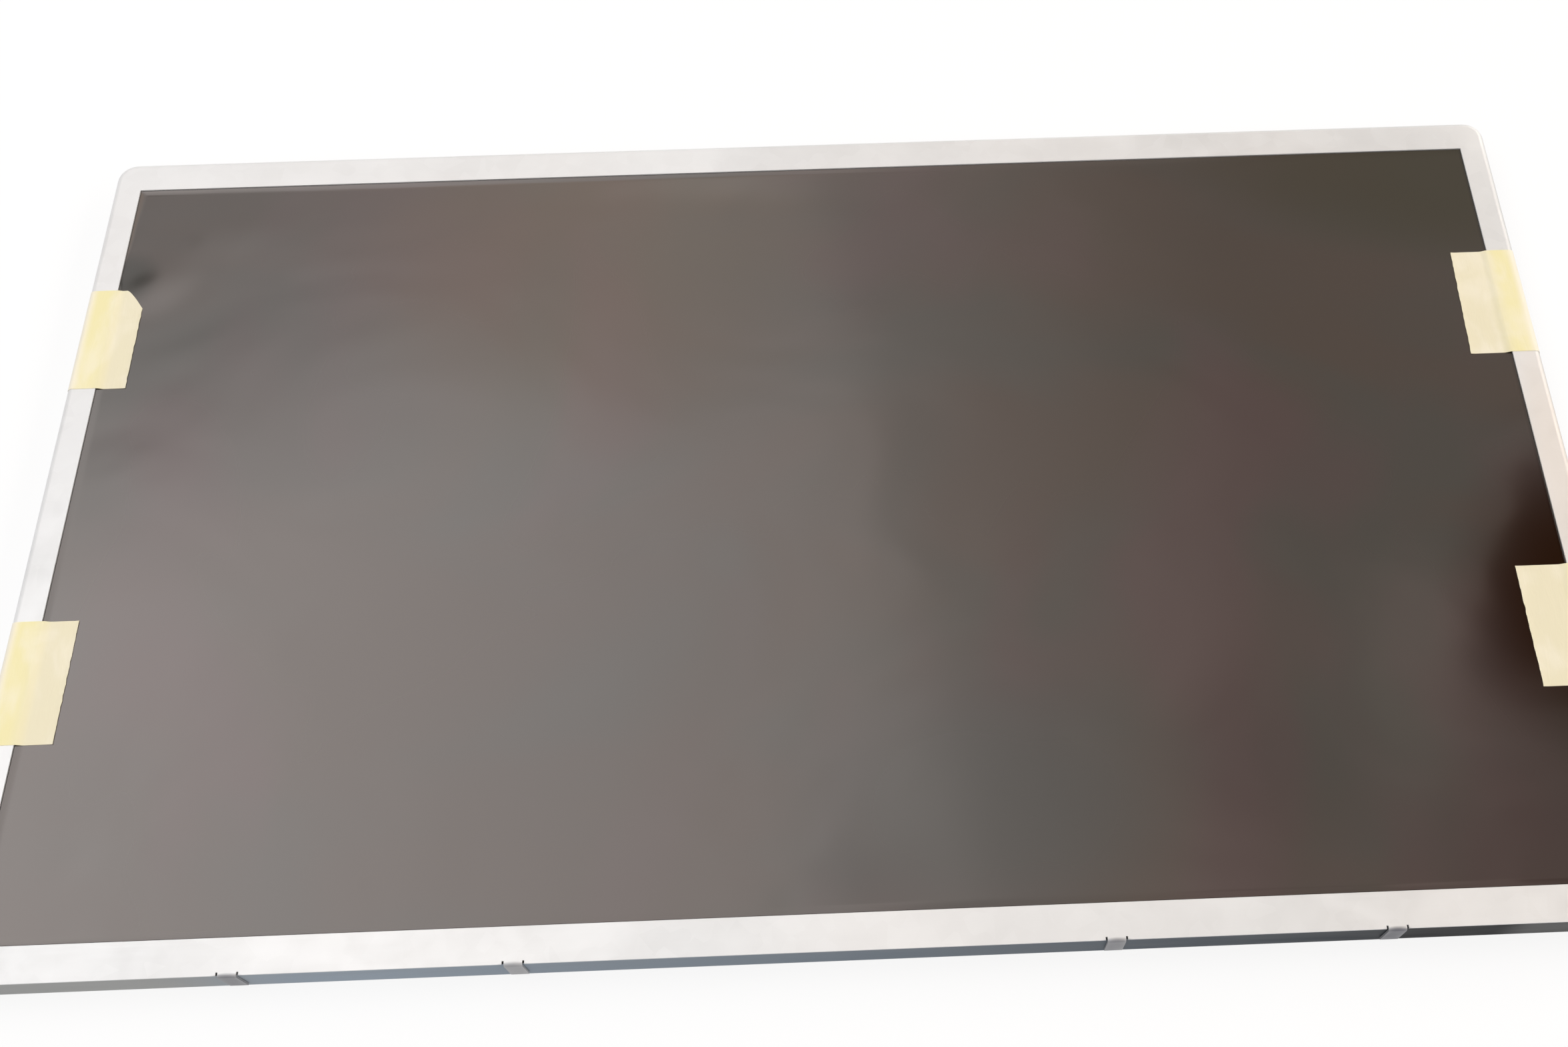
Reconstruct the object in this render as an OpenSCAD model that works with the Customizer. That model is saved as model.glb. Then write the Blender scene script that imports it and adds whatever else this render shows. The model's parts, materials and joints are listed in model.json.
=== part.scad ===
// Bare LCD module: a glass cell and its edge-lit backlight between a folded steel
// bezel and a pressed steel tray. It lies face up on the ribs of the tray.
// X runs along the width, Y up the picture and Z out of the display. The origin is
// under the middle of the outline.

/* [Viewing opening] */
// Width of the opening in the bezel
opening_w = 413.4; // [400:0.1:440]
// Height of the opening in the bezel
opening_h = 234.2; // [222:0.1:250]

/* [Bezel] */
// Width of the bezel face at the left and right of the opening
side_flange = 8.5; // [8:0.1:12]
// Width of the bezel face above the opening
top_flange = 10.7; // [9:0.1:15]
// Width of the bezel face below the opening
bottom_flange = 9.7; // [9.3:0.1:13]
// Outer radius of the corners seen from the front
corner_r = 6; // [4:0.5:9]
// Thickness of the bezel sheet
bezel_t = 0.5; // [0.4:0.05:0.6]
// Outside radius of the fold between the bezel face and its walls
bezel_fold_r = 2; // [1.2:0.1:2.1]
// Height of the bezel walls, from the front face down
bezel_wall_h = 7.6; // [6.5:0.1:8]
// Length of wall that runs on past each lower corner
bezel_stub = 4; // [2:0.5:12]
// Width of each folded tab below the opening
hold_tab_w = 4.5; // [3:0.1:8]
// How far the folded tabs reach down from the front face
hold_tab_h = 9; // [7:0.1:10]
// Distance of the two inner folded tabs from the middle
hold_tab_in = 73.5; // [70:0.5:78]
// Distance of the two outer folded tabs from the middle
hold_tab_out = 142.5; // [136:0.5:170]
// Width of the relief slots beside each folded tab
tab_relief = 0.5; // [0.4:0.1:1.2]

/* [Glass cell] */
// Thickness of each of the two glass plates
glass_t = 0.5; // [0.4:0.05:0.7]
// Thickness of each polarizer
polarizer_t = 0.2; // [0.1:0.02:0.25]
// Thickness of the clear protective film
film_t = 0.08; // [0.05:0.01:0.15]
// How far the glass reaches behind the bezel face all round
glass_margin = 2.6; // [2.2:0.1:3]
// Width of the glass shelf that the flexes are bonded to
bond_shelf = 3; // [2.4:0.1:3.3]
// How far the polarizer reaches behind the bezel face
polarizer_margin = 1.2; // [0.8:0.1:1.3]
// Clearance between the protective film and the opening
film_gap = 0.2; // [0.1:0.05:0.6]
// Clearance round the glass in the mid frame
cell_gap = 0.4; // [0.2:0.05:0.5]
// Thickness of the cushions between the glass and the bezel face
cushion_t = 0.4; // [0.3:0.05:1.2]
// Width of the cushions
cushion_w = 0.9; // [0.5:0.1:0.95]

/* [Mid frame] */
// Thickness of the ledge that carries the glass cell
ledge_t = 0.8; // [0.6:0.1:1.5]
// Distance that the ledge stays back from the opening
ledge_back = 0.7; // [0.5:0.1:0.9]
// Thickness of the foam seat on the ledge
seat_t = 0.2; // [0.2:0.05:0.4]
// Thickness of the frame wall below the opening
frame_bottom_t = 2.2; // [1.6:0.1:2.4]
// Clearance between the mid frame and the tray walls
frame_gap = 0.2; // [0.1:0.05:0.3]

/* [Backlight] */
// Thickness of the light guide
guide_t = 3.6; // [2.8:0.1:4]
// Thickness of the reflector
reflector_t = 0.2; // [0.1:0.02:0.3]
// Thickness of the diffuser
diffuser_t = 0.3; // [0.2:0.02:0.5]
// Thickness of each prism sheet
prism_t = 0.25; // [0.15:0.01:0.35]
// Free play above the stack of sheets
sheet_play = 0.2; // [0.1:0.05:0.4]
// How far the sheets reach behind the bezel face
sheet_margin = 1.9; // [1.5:0.1:2.1]
// How far the light guide reaches behind the bezel face
guide_margin = 2.2; // [1.8:0.1:2.4]
// Width of each light source
led_w = 4; // [3:0.1:6]
// Height of each light source
led_h = 2; // [1.4:0.1:2.2]
// Depth of each light source
led_depth = 1; // [0.8:0.05:1.1]
// Spacing of the light sources
led_pitch = 10.2; // [8:0.1:14]
// Thickness of the board of the light sources
led_board_t = 1; // [0.6:0.05:1.1]
// Distance from the outline to the ends of that board
led_board_in = 10; // [8:0.5:16]
// Thickness of the heat-conducting tape behind that board
thermal_tape_t = 0.2; // [0.1:0.02:0.25]

/* [Rear tray] */
// Thickness of the tray sheet
tray_t = 0.6; // [0.5:0.05:0.7]
// Depth of the space behind the tray floor, which the ribs span
rear_depth = 3.2; // [3.2:0.1:4.5]
// Outside radius of the folds of the tray
tray_fold_r = 1.2; // [0.8:0.1:1.5]
// Height of the tray walls above the rear face of the floor
tray_wall_h = 6.2; // [5.8:0.1:6.6]
// Clearance between the tray walls and the bezel walls
wall_gap = 0.15; // [0.1:0.05:0.3]
// Width of the flat top of the pressed ribs
rib_w = 8; // [6:0.5:12]
// Corner radius of that flat top
rib_r = 3; // [2:0.5:2.9]
// Length of the pressed ribs along the top
top_rib_l = 150; // [100:1:160]
// Length of the pressed ribs along the sides
side_rib_l = 120; // [80:1:125]
// Length of the slanting ribs
slant_rib_l = 56; // [40:1:60]
// Width of the raised field in the middle
field_w = 130; // [100:1:140]
// Height of the raised field in the middle
field_h = 64; // [50:1:70]

/* [Side mounting holes] */
// Distance between the two threaded holes of each side
mount_spacing = 190; // [184:0.5:196]
// Height of the threaded holes above the rear face of the tray floor
mount_rise = 3.4; // [3.2:0.1:3.5]
// Core diameter of the M3 thread
mount_bore = 2.5; // [2.4:0.05:2.6]
// Outer diameter of the collar that is drawn out round each hole
mount_collar = 4.2; // [3.8:0.1:4.4]
// Length of that collar behind the tray wall
mount_collar_l = 1.4; // [1:0.1:1.8]
// Width of the slot in the bezel wall in front of each hole
mount_slot_w = 5.6; // [5:0.1:5.6]

/* [Latches] */
// Width of the latch lugs on the mid frame
lug_w = 7.6; // [5:0.1:10]
// Height of each lug at its root
lug_h = 1.8; // [1.4:0.1:1.9]
// Clearance round the lugs in the sheet metal
lug_gap = 0.4; // [0.2:0.05:0.6]
// Distance of the inner side latches from the middle
side_lug_in = 20; // [14:1:24]
// Distance of the outer side latches from the middle
side_lug_out = 112; // [106:0.5:112]
// Distance of the inner top latches from the middle
top_lug_in = 55; // [30:1:80]
// Distance of the outer top latches from the middle
top_lug_out = 160; // [140:1:185]

/* [Control board] */
// Width of the control board
board_w = 300; // [290:1:330]
// Height of the control board
board_h = 26.6; // [24:0.1:26.8]
// Thickness of the control board
board_t = 0.8; // [0.6:0.1:0.8]
// Distance between the control board and the tray floor
board_lift = 0.7; // [0.5:0.1:0.7]
// Thickness of the insulating sheet between board and tray
insulator_t = 0.1; // [0.1:0.05:0.25]
// Width of the signal socket
socket_w = 38; // [30:0.5:42]
// Depth of the signal socket
socket_d = 6; // [5:0.1:6.5]
// Height of the signal socket
socket_h = 1.5; // [1.2:0.05:1.5]
// Number of signal contacts
socket_contacts = 30; // [20:1:30]
// Distance of the signal socket from the middle
socket_x = 38; // [34:1:50]
// Width of the backlight socket
light_socket_w = 11; // [9:0.5:13]
// Height of the backlight socket
light_socket_h = 2; // [1.6:0.1:2.2]
// Distance of the backlight socket from the right edge of the outline
light_socket_in = 36; // [34:1:38]

/* [Board cover] */
// Thickness of the cover sheet
cover_t = 0.3; // [0.2:0.05:0.3]
// Distance from the outline to the left and right ends of the cover
cover_in = 12; // [10:0.5:16]
// Clearance between the cover and the board above it
cover_clear = 1.4; // [1:0.1:2.5]
// Width of the screwed ears of the cover
ear_w = 10; // [8:0.5:14]
// Length of those ears
ear_l = 9; // [8:0.5:10]

/* [Flexes] */
// Width of each source flex
flex_w = 40; // [30:1:46]
// Thickness of each source flex
flex_t = 0.1; // [0.06:0.01:0.12]
// Distance of the two inner flexes from the middle
flex_in = 36; // [30:0.5:38]
// Distance of the two outer flexes from the middle
flex_out = 107; // [104:0.5:110]
// Length of the driver chips on the flexes
chip_l = 20; // [12:1:28]

/* [Screws] */
// Thread radius of the small screws
screw_r = 1; // [0.8:0.05:1.1]
// Radius of their heads
head_r = 1.9; // [1.6:0.1:2.2]
// Height of their heads
head_h = 1.1; // [0.8:0.05:1.2]

/* [Film tapes] */
// Thickness of the tapes
tape_t = 0.12; // [0.08:0.01:0.2]
// How far the tapes run down the bezel wall from the front face
tape_drop = 5; // [3:0.1:7]
// Length of ramp from the film up to the bezel face
tape_ramp = 2.5; // [1.5:0.1:4]
// Lower edge of the left upper tape above the middle of the outline
left_upper_y = 43.7; // [38:0.1:48]
// Height of the left upper tape
left_upper_h = 34.7; // [25:0.1:40]
// How far the left upper tape reaches onto the screen
left_upper_reach = 8.4; // [5:0.1:14]
// Size of its cut corner
left_upper_cut = 5.4; // [2:0.1:7]
// Lower edge of the left lower tape
left_lower_y = -65.5; // [-70:0.1:-58]
// Height of the left lower tape
left_lower_h = 35.1; // [25:0.1:40]
// How far the left lower tape reaches onto the screen
left_lower_reach = 9.8; // [5:0.1:14]
// Lower edge of the right upper tape
right_upper_y = 39.8; // [36:0.1:46]
// Height of the right upper tape
right_upper_h = 36.7; // [25:0.1:42]
// How far the lower corner of the right upper tape reaches onto the screen
right_upper_reach = 12.1; // [6:0.1:16]
// How much less its upper corner reaches, because it was put on askew
right_upper_skew = 1.1; // [0:0.1:2]
// Lower edge of the right lower tape
right_lower_y = -65; // [-70:0.1:-58]
// Height of the right lower tape
right_lower_h = 35.4; // [25:0.1:40]
// How far the right lower tape reaches onto the screen
right_lower_reach = 14.2; // [6:0.1:18]

/* [Edge tape] */
// Thickness of the black tape along the lower edge
edge_tape_t = 0.1; // [0.05:0.01:0.15]
// Clearance between that tape and the folded tabs
edge_tape_gap = 0.1; // [0.05:0.01:0.2]
// Gap between the ends of the black tape and the ends of the bezel wall
edge_tape_end = 0.5; // [0.3:0.1:4]

/* [Hidden] */
$fn = 48;
// Small length by which cutters run past the faces that they cut
over = 0.5;
// Clearance that keeps neighbouring hidden pieces apart
slip = 0.1;

// Heights, from the surface that the part lies on up to the front face
floor_z = rear_depth + tray_t;
guide_z = floor_z + reflector_t;
diffuser_z = guide_z + guide_t;
lower_prism_z = diffuser_z + diffuser_t;
upper_prism_z = lower_prism_z + prism_t;
ledge_z = upper_prism_z + prism_t + sheet_play;
seat_z = ledge_z + ledge_t;
tft_z = seat_z + seat_t;
filter_z = tft_z + glass_t;
cell_z = filter_z + glass_t;
film_z = cell_z + polarizer_t;
film_top = film_z + film_t;
flange_z = cell_z + cushion_t;
module_t = flange_z + bezel_t;
frame_top = flange_z - 2 * slip;
shoulder_z = module_t - bezel_fold_r;
bezel_low = module_t - bezel_wall_h;
tray_wall_top = rear_depth + tray_wall_h;

// Outline and opening
module_w = opening_w + 2 * side_flange;
module_h = opening_h + top_flange + bottom_flange;
out_x = module_w / 2;
out_y = module_h / 2;
open_x = opening_w / 2;
open_top = out_y - top_flange;
open_bottom = bottom_flange - out_y;
open_mid = (open_top + open_bottom) / 2;

// Walls of the left, right and top side, from the outline inwards
tray_in = bezel_t + wall_gap;
frame_in = tray_in + tray_t + frame_gap;
well_x = open_x + glass_margin + cell_gap;
well_top = open_top + glass_margin + cell_gap;

// Layers of the lower edge, from the outline inwards
edge_tape_y = -out_y + bezel_t + edge_tape_gap;
frame_y = edge_tape_y + edge_tape_t;
frame_inner_y = frame_y + frame_bottom_t;
tray_edge_y = frame_inner_y + frame_gap;
thermal_y = tray_edge_y + tray_t;
tray_lower_fold_r = tray_t + thermal_tape_t;
led_board_y = thermal_y + thermal_tape_t;
led_y = led_board_y + led_board_t;
guide_bottom = led_y + led_depth + 2 * slip;
tft_bottom = open_bottom - glass_margin - bond_shelf;
frame_sill = min(tft_z + glass_t, shoulder_z) - 2 * slip;

// Light sources
led_half = out_x - led_board_in;
led_mid_z = guide_z + guide_t / 2;
led_low_z = led_mid_z - led_h / 2;
led_count = floor((2 * led_half - led_w) / led_pitch) + 1;
led_board_top = ledge_z - 4 * slip;
tail_w = light_socket_w - 1;
tail_t = 0.15;
tail_x = out_x - light_socket_in;
tail_l = 14.5;

// Control board, under the floor of the tray
board_top_z = rear_depth - board_lift;
board_z = board_top_z - board_t;
board_bottom = tray_edge_y;
board_top = board_bottom + board_h;
board_boss_r = 2.2;
board_screw_end = 7;
board_screw_mid = -5;
board_screw_top_in = 6.5;
board_screw_low_in = 6.2;
board_screw_top = [board_screw_end - board_w / 2, board_screw_mid,
                   board_w / 2 - board_screw_end];
board_screw_low = [-hold_tab_in, hold_tab_in];
board_screws_at = concat(
    [for (x = board_screw_top) [x, board_top - board_screw_top_in]],
    [for (x = board_screw_low) [x, board_bottom + board_screw_low_in]]);

// Parts of the control board: distance from its middle or from an end, and from its
// lower edge
timing_x = -24;
timing_y = 13;
memory_x = -46;
memory_y = 15;
power_end = 62;
coil_end = 46;
power_y = 14;
coil_r = 2.9;
left_caps_end = 40;
left_caps_pitch = 6;
left_caps_y = 11;
right_caps_end = 38;
right_caps_pitch = 4;
right_caps_y = 9;

// Cover of the control board
cover_x = out_x - cover_in;
cover_top = board_top + cover_clear;
ear_depth = 1.4;
ear_z = rear_depth - ear_depth - cover_t;
ear_boss_r = 2.8;
ear_hole_in = 4.2;
ear_y = cover_top + ear_l - ear_hole_in;
ear_end = 13.2;
ear_left = 100;
ear_mid = 10;
ear_right = 90;
ear_far_right = 150;
ears_at = [for (x = [ear_end - cover_x, -ear_left, -ear_mid, ear_right, ear_far_right])
           [x, ear_y]];
window_side = 3;

// Flexes
flex_at = [-flex_out, -flex_in, flex_in, flex_out];
flex_fold_r = 0.5;
flex_y = frame_y + slip;
flex_bond = 4;

// Sheet ears in the pockets of the mid frame
sheet_ear_w = 9;
sheet_ear_l = 2;
sheet_ear_at = [-open_x * 0.6, 0, open_x * 0.6];
// Pegs of the mid frame in the notches of the light guide
peg_w = 5;
peg_y = 60;
peg_reach = 1.6;

// Side holes and latches
mount_z = rear_depth + mount_rise;
mounts_y = [-mount_spacing / 2, mount_spacing / 2];
lug_z = rear_depth + 2.6;
side_lugs = [-side_lug_out, -side_lug_in, side_lug_in, side_lug_out];
top_lugs = [-top_lug_out, -top_lug_in, top_lug_in, top_lug_out];
// How far the tip of a lug stays below the outer face of the bezel
lug_back = 0.15;

// Places of the pressed ribs, and the direction of the slanting ones
rib_side_x = out_x - 30;
rib_top_y = out_y - 27;
rib_side_y = 15;
slant_cos = 0.8432;
slant_sin = 0.5376;
slant_angle = atan2(slant_sin, slant_cos);
slant_reach = slant_rib_l / 2 + 2 * rear_depth + 7;
slant_x = field_w / 2 + slant_reach * slant_cos;
slant_y = field_h / 2 + slant_reach * slant_sin;

// Rounded rectangle in plan, between a bottom and a top edge
module outline(half_x, bottom, top, r) {
    translate([-half_x + r, bottom]) square([2 * (half_x - r), top - bottom]);
    translate([-half_x, bottom + r]) square([2 * half_x, top - bottom - 2 * r]);
    for (x = [-half_x + r, half_x - r], y = [bottom + r, top - r])
        translate([x, y]) circle(r);
}

// Flat rectangular layer
module layer(half_x, bottom, top, z, t) {
    translate([-half_x, bottom, z]) cube([2 * half_x, top - bottom, t]);
}

// Bar between two corners
module bar(low, high) {
    translate(low) cube(high - low);
}

// Quarter of a ring, for a fold of outside radius r in sheet of thickness t
module quarter_ring(r, t) {
    intersection() {
        difference() {
            circle(r);
            circle(r - t);
        }
        square(2 * r);
    }
}

// Prism along Y of a section whose X points outwards and whose Y points up
module run(length) {
    translate([0, length, 0]) rotate([90, 0, 0]) linear_extrude(length) children();
}

// The section in its child, taken round a rounded rectangle. The lower side is run
// only for the given length past each lower corner.
module rim(half_x, bottom, top, r, past) {
    side = top - bottom - 2 * r;
    across = 2 * (half_x - r);
    translate([half_x - r, bottom + r, 0]) run(side) children();
    translate([half_x - r, top - r, 0]) rotate(90) run(across) children();
    translate([r - half_x, top - r, 0]) rotate(180) run(side) children();
    for (x = [r - half_x, half_x - r - past])
        translate([x, bottom + r, 0]) rotate(270) run(past) children();
    for (a = [0:3])
        translate([(a == 0 || a == 3 ? 1 : -1) * (half_x - r),
                   a < 2 ? top - r : bottom + r, 0])
            rotate(90 * a) rotate_extrude(angle = 90) children();
}

// Fold and wall of the bezel, measured from the axis of a corner
module bezel_section() {
    translate([corner_r - bezel_fold_r - slip, flange_z]) square([slip, bezel_t]);
    translate([corner_r - bezel_fold_r, module_t - bezel_fold_r])
        quarter_ring(bezel_fold_r, bezel_t);
    translate([corner_r - bezel_t, bezel_low])
        square([bezel_t, bezel_wall_h - bezel_fold_r]);
}

// Narrow tab folded down over the lower edge
module hold_tab(x) {
    reach = hold_tab_fold_r + tab_relief + over;
    translate([x - hold_tab_w / 2, -out_y, 0]) rotate(270) run(hold_tab_w) {
        translate([-reach, flange_z]) square([reach - hold_tab_fold_r, bezel_t]);
        translate([-hold_tab_fold_r, module_t - hold_tab_fold_r])
            quarter_ring(hold_tab_fold_r, bezel_t);
        translate([-bezel_t, module_t - hold_tab_h])
            square([bezel_t, hold_tab_h - hold_tab_fold_r]);
    }
}

hold_tabs = [-hold_tab_out, -hold_tab_in, hold_tab_in, hold_tab_out];
hold_tab_fold_r = bezel_t + 0.3;
bezel_end_x = out_x - corner_r - bezel_stub;

module front_bezel() {
    flat = bezel_fold_r;
    color("gainsboro") difference() {
        union() {
            translate([0, 0, flange_z]) linear_extrude(bezel_t) difference() {
                union() {
                    outline(out_x - flat, flat - out_y, out_y - flat, corner_r - flat);
                    translate([-bezel_end_x, bezel_t - out_y])
                        square([2 * bezel_end_x, flat]);
                }
                translate([-open_x, open_bottom]) square([opening_w, opening_h]);
                for (x = hold_tabs)
                    translate([x - hold_tab_w / 2 - tab_relief, -out_y])
                        square([hold_tab_w + 2 * tab_relief, hold_tab_fold_r + tab_relief]);
            }
            rim(out_x, -out_y, out_y, corner_r, bezel_stub) bezel_section();
        }
        // Slots in front of the threaded holes
        for (x = [-out_x, out_x], y = mounts_y) {
            translate([x - 1, y, mount_z]) rotate([0, 90, 0])
                cylinder(r = mount_slot_w / 2, h = 2);
            bar([x - 1, y - mount_slot_w / 2, bezel_low - over],
                [x + 1, y + mount_slot_w / 2, mount_z]);
        }
        // Windows for the latches
        latch_windows(out_x - 1, out_x + 1, out_y - 1, out_y + 1, 1.3);
    }
    color("gainsboro") for (x = hold_tabs) hold_tab(x);
}

// Window cutters for the latches, through walls between two distances from the middle
module latch_windows(x_from, x_to, y_from, y_to, height) {
    half = lug_w / 2 + lug_gap;
    for (s = [-1, 1], y = side_lugs)
        bar([min(s * x_from, s * x_to), y - half, lug_z - lug_gap],
            [max(s * x_from, s * x_to), y + half, lug_z + height]);
    for (x = top_lugs)
        bar([x - half, y_from, lug_z - lug_gap], [x + half, y_to, lug_z + height]);
}

module protective_film() {
    inset = film_gap;
    color("lightgray") layer(open_x - inset, open_bottom + inset, open_top - inset,
                             film_z, film_t);
}

module front_polarizer() {
    m = polarizer_margin;
    color("dimgray") layer(open_x + m, open_bottom - m, open_top + m, cell_z, polarizer_t);
}

module color_filter_glass() {
    m = glass_margin;
    color("darkslategray") layer(open_x + m, open_bottom - m, open_top + m,
                                 filter_z, glass_t);
}

module tft_glass() {
    m = glass_margin;
    color("slategray") layer(open_x + m, tft_bottom, open_top + m, tft_z, glass_t);
}

// The rear polarizer lies inside the ledge of the frame
module rear_polarizer() {
    m = ledge_back - 3 * slip;
    color("dimgray") layer(open_x + m, open_bottom - m, open_top + m,
                           tft_z - polarizer_t, polarizer_t);
}

module cell_seat() {
    m = glass_margin - 2 * slip;
    n = ledge_back + slip;
    color("black") difference() {
        layer(open_x + m, tft_bottom + 2 * slip, open_top + m, seat_z, seat_t);
        layer(open_x + n, open_bottom - n, open_top + n, seat_z - over, seat_t + 2 * over);
    }
}

// Cushions between the glass and the bezel face, one on each edge of the glass
module cushion(low, high) {
    color("black") bar([low.x, low.y, cell_z], [high.x, high.y, flange_z]);
}

cushion_out_x = open_x + glass_margin - slip;
cushion_out_top = open_top + glass_margin - slip;
cushion_out_bottom = open_bottom - glass_margin + slip;

module cushion_left() {
    cushion([-cushion_out_x, cushion_out_bottom],
            [cushion_w - cushion_out_x, cushion_out_top]);
}

module cushion_right() {
    cushion([cushion_out_x - cushion_w, cushion_out_bottom],
            [cushion_out_x, cushion_out_top]);
}

module cushion_top() {
    half = cushion_out_x - cushion_w - slip;
    cushion([-half, cushion_out_top - cushion_w], [half, cushion_out_top]);
}

module cushion_bottom() {
    half = cushion_out_x - cushion_w - slip;
    cushion([-half, cushion_out_bottom], [half, cushion_out_bottom + cushion_w]);
}

// Flex that is bonded to the glass shelf, folds over the frame and ends on the board
module source_flex(i) {
    r = flex_fold_r;
    upper = tft_z + glass_t + flex_t;
    lower = board_z - flex_t;
    color("peru") translate([flex_at[i - 1] - flex_w / 2, flex_y, 0])
        rotate(270) run(flex_w) {
            translate([-(open_bottom - glass_margin - 2 * slip) + flex_y, upper - flex_t])
                square([(open_bottom - glass_margin - 2 * slip) - flex_y - r, flex_t]);
            translate([-r, upper - r]) quarter_ring(r, flex_t);
            translate([-flex_t, lower + r]) square([flex_t, upper - lower - 2 * r]);
            translate([-r, lower + r]) mirror([0, 1]) quarter_ring(r, flex_t);
            translate([flex_y - board_bottom - flex_bond, lower])
                square([board_bottom + flex_bond - flex_y - r, flex_t]);
        }
}

module driver_chip(i) {
    z = tft_z + glass_t + flex_t;
    y = frame_y + 0.8;
    color("darkslategray") bar([flex_at[i - 1] - chip_l / 2, y, z],
                               [flex_at[i - 1] + chip_l / 2, y + 1.2, z + 0.5]);
}

// Moulded frame: walls all round, a ledge for the glass, lugs and pockets
module mid_frame() {
    r = corner_r - frame_in;
    x = out_x - frame_in;
    top = out_y - frame_in;
    back = open_x + ledge_back;
    foot = tray_fold_r - tray_t + slip;
    neck = bezel_fold_r + slip;
    color("whitesmoke") difference() {
        union() {
            // Foot that clears the folds of the tray
            translate([0, 0, floor_z]) linear_extrude(foot)
                outline(x - foot, frame_y, top - foot, r - foot);
            translate([0, 0, floor_z + foot]) linear_extrude(shoulder_z - floor_z - foot)
                outline(x, frame_y, top, r);
            // Upper rim that clears the folds of the bezel
            translate([0, 0, shoulder_z]) linear_extrude(frame_top - shoulder_z)
                outline(out_x - neck, frame_y, out_y - neck, corner_r - neck);
            translate([0, 0, rear_depth]) linear_extrude(tray_t) intersection() {
                outline(x, frame_y, top, r);
                translate([-x, frame_y]) square([2 * x, frame_bottom_t]);
            }
            for (s = [-1, 1], y = side_lugs) translate([s * x, y, 0])
                rotate(s > 0 ? 0 : 180) lug();
            for (lug_x = top_lugs) translate([lug_x, top, 0]) rotate(90) lug();
        }
        // Room for the backlight below the ledge
        layer(well_x, frame_inner_y, well_top, rear_depth - over, ledge_z - rear_depth + over);
        // Light opening of the ledge
        layer(back, open_bottom - ledge_back, open_top + ledge_back, ledge_z - over,
              ledge_t + 2 * over);
        // Well of the glass cell
        layer(well_x, frame_inner_y, well_top, seat_z, frame_top);
        // The lower wall ends under the flexes
        bar([-out_x, frame_y - over, frame_sill], [out_x, frame_inner_y, frame_top + over]);
        // Channels for the flexes
        for (f = flex_at)
            bar([f - flex_w / 2 - over, frame_y - over, rear_depth - over],
                [f + flex_w / 2 + over, frame_y + flex_t + 2 * slip, frame_top]);
        // Pockets behind the threaded holes
        for (s = [-1, 1], y = mounts_y) translate([s * x, y, mount_z])
            rotate([0, s * -90, 0]) translate([0, 0, -over])
                cylinder(r = mount_collar / 2 + 0.4, h = mount_collar_l + 0.6 + over);
        // Pockets for the ears of the sheets
        for (ear_x = sheet_ear_at)
            bar([ear_x - sheet_ear_w / 2 - over, well_top - over, floor_z - over],
                [ear_x + sheet_ear_w / 2 + over,
                 open_top + sheet_margin + sheet_ear_l + over, ledge_z]);
    }
    // Pegs that hold the light guide
    color("whitesmoke") for (s = [-1, 1])
        bar([min(s * well_x, s * (well_x - peg_reach - peg_gap())), peg_y - peg_w / 2,
             guide_z + slip],
            [max(s * well_x, s * (well_x - peg_reach - peg_gap())), peg_y + peg_w / 2,
             diffuser_z - slip]);
}

// Distance from the wall of the frame to the edge of the light guide
function peg_gap() = well_x - open_x - guide_margin;

// Latch lug, pointing along +X from the wall of the frame
module lug() {
    reach = frame_in - lug_back;
    translate([0, lug_w / 2, 0]) rotate([90, 0, 0]) linear_extrude(lug_w)
        polygon([[-over, lug_z], [reach, lug_z], [reach, lug_z + 0.4],
                 [0, lug_z + lug_h], [-over, lug_z + lug_h]]);
}

// Sheet of the backlight, with ears along its top edge
module optical_sheet(z, t) {
    m = sheet_margin;
    layer(open_x + m, guide_bottom, open_top + m, z, t);
    for (x = sheet_ear_at)
        bar([x - sheet_ear_w / 2, open_top + m - over, z],
            [x + sheet_ear_w / 2, open_top + m + sheet_ear_l, z + t]);
}

module upper_prism_sheet() { color("lightcyan") optical_sheet(upper_prism_z, prism_t); }

module lower_prism_sheet() { color("lightblue") optical_sheet(lower_prism_z, prism_t); }

module diffuser_sheet() { color("white") optical_sheet(diffuser_z, diffuser_t); }

module reflector_sheet() { color("white") optical_sheet(floor_z, reflector_t); }

module light_guide() {
    m = guide_margin;
    color("lightcyan") difference() {
        layer(open_x + m, guide_bottom, open_top + m, guide_z, guide_t);
        for (s = [-1, 1])
            bar([min(s * (open_x + m + over), s * (open_x + m - peg_reach - 2 * slip)),
                 peg_y - peg_w / 2 - 2 * slip, guide_z - over],
                [max(s * (open_x + m + over), s * (open_x + m - peg_reach - 2 * slip)),
                 peg_y + peg_w / 2 + 2 * slip, diffuser_z + over]);
    }
}

module led_board() {
    color("white") bar([-led_half, led_board_y, floor_z + slip],
                       [led_half, led_y, led_board_top]);
}

// One light source with the shallow pocket of its phosphor
module led_package() {
    rim_t = 0.4;
    difference() {
        bar([-led_w / 2, 0, -led_h / 2], [led_w / 2, led_depth, led_h / 2]);
        bar([rim_t - led_w / 2, led_depth - 0.2, rim_t - led_h / 2],
            [led_w / 2 - rim_t, led_depth + over, led_h / 2 - rim_t]);
    }
}

module led_packages() {
    first = -(led_count - 1) * led_pitch / 2;
    color("khaki") for (i = [0:led_count - 1])
        translate([first + i * led_pitch, led_y, led_mid_z]) led_package();
}

module thermal_tape() {
    color("lightsteelblue") bar([-led_half, thermal_y, rear_depth + tray_lower_fold_r],
                                [led_half, led_board_y, led_board_top]);
}

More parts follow.
